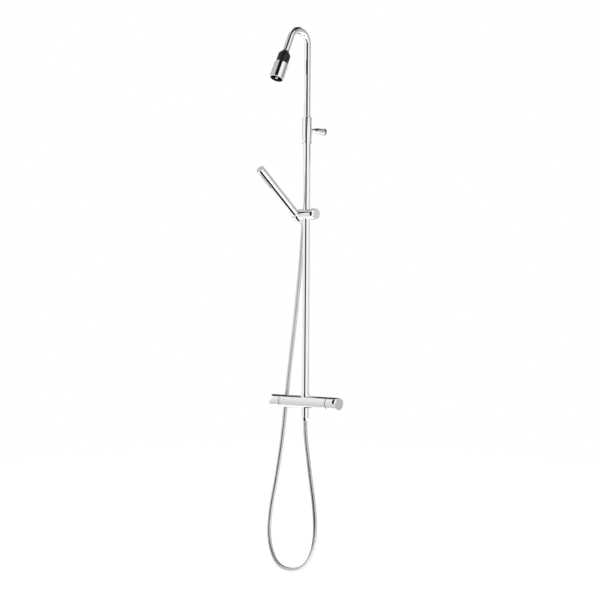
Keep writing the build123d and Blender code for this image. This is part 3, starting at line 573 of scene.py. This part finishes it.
# ------------------------------------------------------------------ finishes of the CAD nodes
# slot: name, colour, worn colour, roughness, grains per metre, depth of the grain
MOULDED_FINISHES = {
    "black_plastic": (
        "black_satin_plastic", (0.010, 0.010, 0.011), (0.016, 0.016, 0.017), 0.26, 1500.0, 0.03 * MM
    ),
    "grey_plastic": ("grey_acetal", (0.52, 0.53, 0.55), (0.47, 0.48, 0.50), 0.45, 900.0, 0.03 * MM),
    "rubber": ("black_rubber", (0.025, 0.025, 0.026), (0.04, 0.04, 0.04), 0.62, 1200.0, 0.05 * MM),
    "silicone": ("pale_silicone", (0.70, 0.71, 0.73), (0.62, 0.63, 0.65), 0.42, 1400.0, 0.03 * MM),
}
# slot: name, colour, darker colour, roughness
MACHINED_FINISHES = {
    "brass": ("machined_brass", (0.80, 0.60, 0.28), (0.66, 0.47, 0.20), 0.24),
    "steel": ("stainless_steel", (0.50, 0.50, 0.52), (0.38, 0.38, 0.40), 0.30),
}
# the nodes that don't share their slot's finish
OWN_FINISHES = {
    "bracket_grub_screw": ("blackened_steel", (0.020, 0.020, 0.022), (0.008, 0.008, 0.009), 0.42),
    "jet_nozzle": ("satin_chrome", (0.96, 0.96, 0.96), (0.90, 0.90, 0.91), 0.52),
}


class SHOWER_OT_chrome(bpy.types.Operator):
    """Finish the tubes, handles, mixer and head shell in polished chrome"""

    bl_idname = "shower.chrome"
    bl_label = "Chrome Parts"

    def execute(self, context):
        settings = getattr(context.scene, TAG).chrome
        plated = [node for node in nodes_of("chrome") if node not in OWN_FINISHES]
        paint(plated, polished_chrome(settings))
        return {"FINISHED"}


class SHOWER_OT_plastic(bpy.types.Operator):
    """Finish the black spray ring and cone, the inner plastics and the seals"""

    bl_idname = "shower.plastic"
    bl_label = "Plastic and Rubber Parts"

    def execute(self, context):
        for slot, finish in MOULDED_FINISHES.items():
            paint(nodes_of(slot), moulded(*finish))
        return {"FINISHED"}


class SHOWER_OT_metal(bpy.types.Operator):
    """Finish the brass connectors and spindles, the steel screws and the satin jet"""

    bl_idname = "shower.metal"
    bl_label = "Brass and Steel Parts"

    def execute(self, context):
        for slot, finish in MACHINED_FINISHES.items():
            paint(nodes_of(slot), machined(*finish))
        for node, finish in OWN_FINISHES.items():
            paint([node], machined(*finish))
        return {"FINISHED"}


# ------------------------------------------------------------------ small pieces
LONG_TICK, SHORT_TICK = 5.5 * MM, 3.2 * MM
LONG_TICK_EVERY = 5
TICK_INSET = 1.2 * MM  # from the collar's outer end
TICK_HEIGHT = 0.12 * MM  # above the collar's surface, and as much below it
TICK_EDGE = 0.05 * MM

NOZZLE_BASE, NOZZLE_TIP, NOZZLE_LENGTH = 1.15 * MM, 0.75 * MM, 1.6 * MM  # two radii and a length
NOZZLE_SIDES = 12
NOZZLE_MIDDLE = 71.5 * MM  # along the head's axis, from the ball joint's centre

# inner and outer radius, and first and last station along the axis, in millimetres
# the head's black mouth sleeve: painted shade over the mouth's inner wall
MOUTH_SHADE_SIZES = (18.0, 18.55, 71.6, 83.6)
SEAL_SIZES = (10.9, 11.75, 0.4, 5.2)


class SHOWER_OT_marks(bpy.types.Operator):
    """Set a plain scale of ticks into the temperature collar"""

    bl_idname = "shower.marks"
    bl_label = "Temperature Marks"

    def execute(self, context):
        settings = getattr(context.scene, TAG).marks
        low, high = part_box("end_collar_left")
        radius = (high.z - low.z) / 2
        marks = bmesh.new()
        for tick in range(settings.ticks):
            length = SHORT_TICK if tick % LONG_TICK_EVERY else LONG_TICK
            angle = settings.spread * (tick / (settings.ticks - 1) - 0.5)
            made = bmesh.ops.create_cube(marks, size=1)["verts"]
            bmesh.ops.scale(marks, vec=(length, TICK_HEIGHT * 2, settings.tick_width), verts=made)
            place = Vector((low.x + TICK_INSET + length / 2, -radius, 0))
            bmesh.ops.translate(marks, vec=place, verts=made)
            turn = Matrix.Rotation(angle, 3, "X")
            bmesh.ops.rotate(marks, cent=(0, 0, 0), matrix=turn, verts=made)
        bmesh.ops.translate(marks, vec=(0, AXIS_Y, 0), verts=marks.verts)
        bmesh.ops.bevel(
            marks, geom=marks.edges[:], offset=TICK_EDGE, affect="EDGES", segments=1, profile=0.5,
            material=-1,
        )
        piece = new_piece("temperature_marks", marks, "column")
        piece.data.materials.append(bpy.data.materials["black_satin_plastic"])
        return {"FINISHED"}


class SHOWER_OT_nozzles(bpy.types.Operator):
    """Set the ring of soft nozzles into the head's black plate"""

    bl_idname = "shower.nozzles"
    bl_label = "Head Nozzles"

    def execute(self, context):
        settings = getattr(context.scene, TAG).marks
        nozzles = bmesh.new()
        for index in range(settings.nozzles):
            angle = FULL_TURN * index / settings.nozzles
            made = bmesh.ops.create_cone(
                nozzles, cap_ends=True, segments=NOZZLE_SIDES, radius1=NOZZLE_BASE,
                radius2=NOZZLE_TIP, depth=NOZZLE_LENGTH,
            )["verts"]
            spoke = Vector((cos(angle), sin(angle), 0)) * settings.nozzle_circle / 2
            bmesh.ops.translate(nozzles, vec=spoke + Vector((0, 0, NOZZLE_MIDDLE)), verts=made)
        bmesh.ops.transform(nozzles, matrix=facing(HEAD_CENTRE, HEAD_AXIS), verts=nozzles.verts)
        piece = new_piece("head_nozzles", nozzles, "shower_head")
        piece.data.materials.append(bpy.data.materials["black_rubber"])
        return {"FINISHED"}


class SHOWER_OT_rings(bpy.types.Operator):
    """Line the head's mouth with a black sleeve as painted shade, and seal the wall bracket's
    flange
    """

    bl_idname = "shower.rings"
    bl_label = "Mouth Shade Sleeve and Wall Seal"

    def execute(self, context):
        # painted shade: a thin black sleeve darkens the inside of the head's mouth
        shade_sleeve = turned_ring("mouth_shade_sleeve", *MOUTH_SHADE_SIZES, HEAD_CENTRE, HEAD_AXIS, "shower_head")
        shade_sleeve.data.materials.append(bpy.data.materials["black_satin_plastic"])
        low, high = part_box("bracket_arm")
        middle = Vector(((low.x + high.x) / 2, high.y, (low.z + high.z) / 2))
        seal = turned_ring("wall_seal", *SEAL_SIZES, middle, FROM_WALL, "column")
        seal.data.materials.append(bpy.data.materials["black_rubber"])
        return {"FINISHED"}


# ------------------------------------------------------------------ stage and camera
# Level directions from the column: towards the camera, and to the right as the camera sees it.
TO_CAMERA = Vector((cos(radians(45)), -sin(radians(45)), 0))
TO_RIGHT = Vector((sin(radians(45)), cos(radians(45)), 0))
CAMERA_PLACE = Vector((3.4510, -3.5587, 0.2850))
SENSOR_WIDTH = 36  # millimetres

COLUMN_FOOT = Vector((0, AXIS_Y, 0))
BAR_AXIS = Vector((-1, 0, 0))
STICK_AXIS = Vector((0, -0.76604, 0.64279))
STICK_MIDDLE = Vector((-0.038, -0.170, 0.680))
HEAD_MIDDLE = Vector((0, -0.205, 1.065))
BEND_RADIUS = 40 * MM
BEND_CENTRE = Vector((0, AXIS_Y - BEND_RADIUS, 1.2045 - BEND_RADIUS))

FLOOR_HALF_SIDE = 9.0
FLOOR_COLOUR = (0.86, 0.86, 0.86, 1)
WHITE = (1, 1, 1, 1)
LAMP_SIZE = 2.5
LAMP_TARGET = Vector((0, AXIS_Y, 0.33))

# The chrome is white where it mirrors the room, so its darker bands mirror these cards, which the
# camera, the shadows and the matt surfaces don't see. They stand in for a studio's grey and black
# reflectors, and aren't part of the column. Angles are in degrees, places in metres, and tones run
# from 0 for black to 1 for white.
UPRIGHT_CARD_DISTANCE = 3.0
# name, turn from the camera towards its right, spread, lower and upper edge, tone
UPRIGHT_CARDS = (
    ("low_dark_card", -24, 43, -1.0, 1.3, 0.012),
    ("high_dark_card", -14, 58, 1.3, 6.5, 0.012),
    ("back_dark_card", 180, 40, -1.0, 6.5, 0.03),
    ("right_low_card", 97, 50, -1.0, 0.05, 0.54),
    ("right_middle_card", 97, 50, 0.05, 1.10, 0.66),
    ("right_high_card", 99, 60, 1.10, 4.60, 0.38),
)
# About the bar, turns above 0 go upwards: bar_low_card stands above the bar and darkens its upper
# edge, and bar_top_card stands below it.
# name, first and last turn, distance, length along the bar, tones, heights of the two tones
BAR_CARDS = (
    ("bar_front_card", (-84, 86), 1.05, 0.8, (0.64, 0.93), (-1.05, 1.05)),
    ("bar_top_card", (-178, -84), 2.2, 3.4, (0.58, 0.58), (0.0, 1.0)),
    ("bar_low_card", (86, 150), 1.06, 1.0, (0.02, 0.02), (0.0, 1.0)),
)
# name, first and last turn, distance, length, tones
HEAD_CARDS = (
    ("head_left_card", (-150, -48), 2.4, 1.4, (0.55, 0.55)),
    ("head_front_card", (-48, -2), 2.8, 1.6, (0.01, 0.01)),
)
# place on the gooseneck's bend, by its angle from the top: first and last turn
BEND_TURNS = {8: (-128, -48), 23: (-104, -30), 38: (-84, -16), 53: (-70, -6)}
BEND_CARD_REACH = 3.2
STICK_CARD = ("stick_low_card", STICK_MIDDLE, STICK_AXIS, (-68, -12), 1.0, 0.38, (0.01, 0.01))
ARC_STEP = 8  # degrees
SIDE_TOLERANCE = 0.01


def heading(turn):
    """A level direction, by its angle in degrees from the camera's towards its right."""
    return TO_CAMERA * cos(radians(turn)) + TO_RIGHT * sin(radians(turn))


def around(middle, axis, turn):
    """Where light that a tube at this place shows at this turn comes from.

    The turn is measured about the tube's axis, from the side that faces the camera. It runs to
    the camera's right about an upright tube, and upwards about the bar.
    """
    view = (CAMERA_PLACE - middle).normalized()
    flat = view - axis * view.dot(axis)
    near = flat.normalized()
    right = near.cross(axis)
    if right.dot(TO_RIGHT) < -SIDE_TOLERANCE:
        right = -right
    slope = -view.dot(axis) / flat.length
    return near * cos(radians(turn)) + right * sin(radians(turn)) + axis * slope


def tone_material(name, low_tone, high_tone, low, high):
    """A glow that goes from one tone to another between two heights."""
    material, finish = new_material(name)
    height = finish.node("SeparateXYZ", inputs={"Vector": finish.place()}, output="Z")
    span = {"Value": height, "From Min": low, "From Max": high}
    share = finish.node("MapRange", inputs=span, output="Result")
    colour = finish.blend(share, (low_tone,) * 3, (high_tone,) * 3)
    glow = finish.node("Emission", inputs={"Color": colour, "Strength": 1.0})
    finish.node("OutputMaterial", inputs={"Surface": glow})
    return material


def add_card(name, rails, tones, heights=(0.0, 1.0)):
    """A card between two rows of points, which only polished surfaces see."""
    sheet = bmesh.new()
    rows = [[sheet.verts.new(point) for point in rail] for rail in rails]
    for index in range(len(rows[0]) - 1):
        sheet.faces.new((rows[0][index], rows[0][index + 1], rows[1][index + 1], rows[1][index]))
    card = new_piece(name, sheet)
    card.data.materials.append(tone_material(name, *tones, *heights))
    card.visible_camera = False
    card.visible_diffuse = False
    card.visible_shadow = False


def upright_card(name, turn, spread, low, high, tone):
    """An upright card around the column, between two heights."""
    centre = COLUMN_FOOT + heading(turn) * UPRIGHT_CARD_DISTANCE
    side = heading(turn + 90) * UPRIGHT_CARD_DISTANCE * tan(radians(spread / 2))
    rails = [
        [centre + side * end + Vector((0, 0, height)) for end in (-1, 1)] for height in (low, high)
    ]
    add_card(name, rails, (tone, tone), (low, high))


def tube_card(name, middle, axis, turns, reach, length, tones, heights=(0.0, 1.0)):
    """A curved strip along a tube's own axis, which draws one band along that tube."""
    first, last = turns
    steps = max(2, round(abs(last - first) / ARC_STEP))
    arc = [first + (last - first) * step / steps for step in range(steps + 1)]
    rails = [
        [middle + around(middle, axis, turn) * reach + axis * (length / 2 * end) for turn in arc]
        for end in (-1, 1)
    ]
    add_card(name, rails, tones, heights)


def add_cards():
    """The cards in the places where the chrome mirrors them."""
    for card in UPRIGHT_CARDS:
        upright_card(*card)
    for name, *card in BAR_CARDS:
        tube_card(name, COLUMN_FOOT, BAR_AXIS, *card)
    for name, *card in HEAD_CARDS:
        tube_card(name, HEAD_MIDDLE, HEAD_AXIS, *card)
    for lean, turns in BEND_TURNS.items():
        away = Vector((0, -sin(radians(lean)), cos(radians(lean))))
        along = Vector((0, -cos(radians(lean)), -sin(radians(lean))))
        place = BEND_CENTRE + away * BEND_RADIUS
        tube_card(
            f"bend_card_{lean}", place, along, turns, BEND_CARD_REACH, BEND_CARD_REACH, (0.02, 0.02)
        )
    tube_card(*STICK_CARD)


def add_lamp(name, place, power):
    """A square soft lamp that faces the middle of the column."""
    light = bpy.data.lights.new(name, "AREA")
    light.size = LAMP_SIZE
    light.energy = power
    lamp = bpy.data.objects.new(name, light)
    lamp.matrix_world = facing(place, place - LAMP_TARGET)
    lamp.visible_glossy = False
    bpy.context.scene.collection.objects.link(lamp)


def add_floor(settings):
    """The pale floor, which whitens for the camera and keeps the shadow."""
    sheet = bmesh.new()
    bmesh.ops.create_grid(sheet, x_segments=1, y_segments=1, size=FLOOR_HALF_SIDE)
    level = cad_bounds[0][2] - settings.floor_drop
    bmesh.ops.translate(sheet, vec=(0, 0, level), verts=sheet.verts)
    floor = new_piece("floor", sheet)
    material, finish = new_material("pale_floor")
    matt = finish.node("BsdfDiffuse", inputs={"Color": FLOOR_COLOUR})
    lift = finish.seen_or_mirrored() * settings.floor_lift
    glow = finish.node("Emission", inputs={"Color": WHITE, "Strength": lift})
    both = finish.node("AddShader", inputs={0: matt, 1: glow})
    finish.node("OutputMaterial", inputs={"Surface": both})
    floor.data.materials.append(material)


def add_room(scene, settings):
    """A white room, dimmer as a light than the camera and the chrome see it."""
    world = bpy.data.worlds.new("white_room")
    scene.world = world
    world.use_nodes = True
    sky = Finish(world.node_tree)
    seen = sky.seen_or_mirrored()
    strength = (1 - seen) * settings.room_light + seen
    plain = sky.node("Background", inputs={"Color": WHITE, "Strength": strength})
    sky.node("OutputWorld", inputs={"Surface": plain})


def add_camera(scene, settings):
    """The camera, tilted a little upwards and leaning a little."""
    ahead = -TO_CAMERA * cos(settings.pitch) + Vector((0, 0, sin(settings.pitch)))
    level_up = TO_RIGHT.cross(ahead)
    right = TO_RIGHT * cos(settings.roll) + level_up * sin(settings.roll)
    up = right.cross(ahead)
    camera = bpy.data.objects.new("camera", bpy.data.cameras.new("camera"))
    camera.data.lens = settings.focal
    camera.data.sensor_width = SENSOR_WIDTH
    turn = Matrix((right, up, -ahead)).transposed().to_4x4()
    camera.matrix_world = Matrix.Translation(CAMERA_PLACE) @ turn
    scene.collection.objects.link(camera)
    scene.camera = camera


class SHOWER_OT_stage(bpy.types.Operator):
    """Set the pale floor, the room, the lamps, the cards and the camera"""

    bl_idname = "shower.stage"
    bl_label = "Stage"

    def execute(self, context):
        scene = context.scene
        settings = getattr(scene, TAG).stage
        scene.view_settings.view_transform = "Standard"
        add_room(scene, settings)
        add_floor(settings)
        add_cards()
        add_lamp("key_lamp", Vector((-1.6, -3.0, 2.6)), settings.key_power)
        add_lamp("fill_lamp", Vector((2.8, -1.6, 1.2)), settings.fill_power)
        add_camera(scene, settings)
        return {"FINISHED"}


class SHOWER_PT_column(bpy.types.Panel):
    """Buttons that make the finishes and pieces of the shower column"""

    bl_idname = "SHOWER_PT_column"
    bl_label = "Shower Column"
    bl_space_type = "VIEW_3D"
    bl_region_type = "UI"
    bl_category = "Shower"

    def draw(self, context):
        for operator in OPERATORS:
            self.layout.operator(operator.bl_idname)


OPERATORS = (
    SHOWER_OT_stage, SHOWER_OT_hose, SHOWER_OT_chrome, SHOWER_OT_plastic, SHOWER_OT_metal,
    SHOWER_OT_marks, SHOWER_OT_nozzles, SHOWER_OT_rings,
)
CLASSES = (
    ChromeSettings, HoseSettings, MarkSettings, StageSettings, ColumnSettings, *OPERATORS,
    SHOWER_PT_column,
)


def register():
    for each in CLASSES:
        bpy.utils.register_class(each)
    setattr(bpy.types.Scene, TAG, PointerProperty(type=ColumnSettings))


def unregister():
    delattr(bpy.types.Scene, TAG)
    for each in reversed(CLASSES):
        bpy.utils.unregister_class(each)


def main():
    register()
    bpy.ops.shower.stage()
    bpy.ops.shower.hose()
    bpy.ops.shower.chrome()
    bpy.ops.shower.plastic()
    bpy.ops.shower.metal()
    bpy.ops.shower.marks()
    bpy.ops.shower.nozzles()
    bpy.ops.shower.rings()


if __name__ == "__main__":
    main()
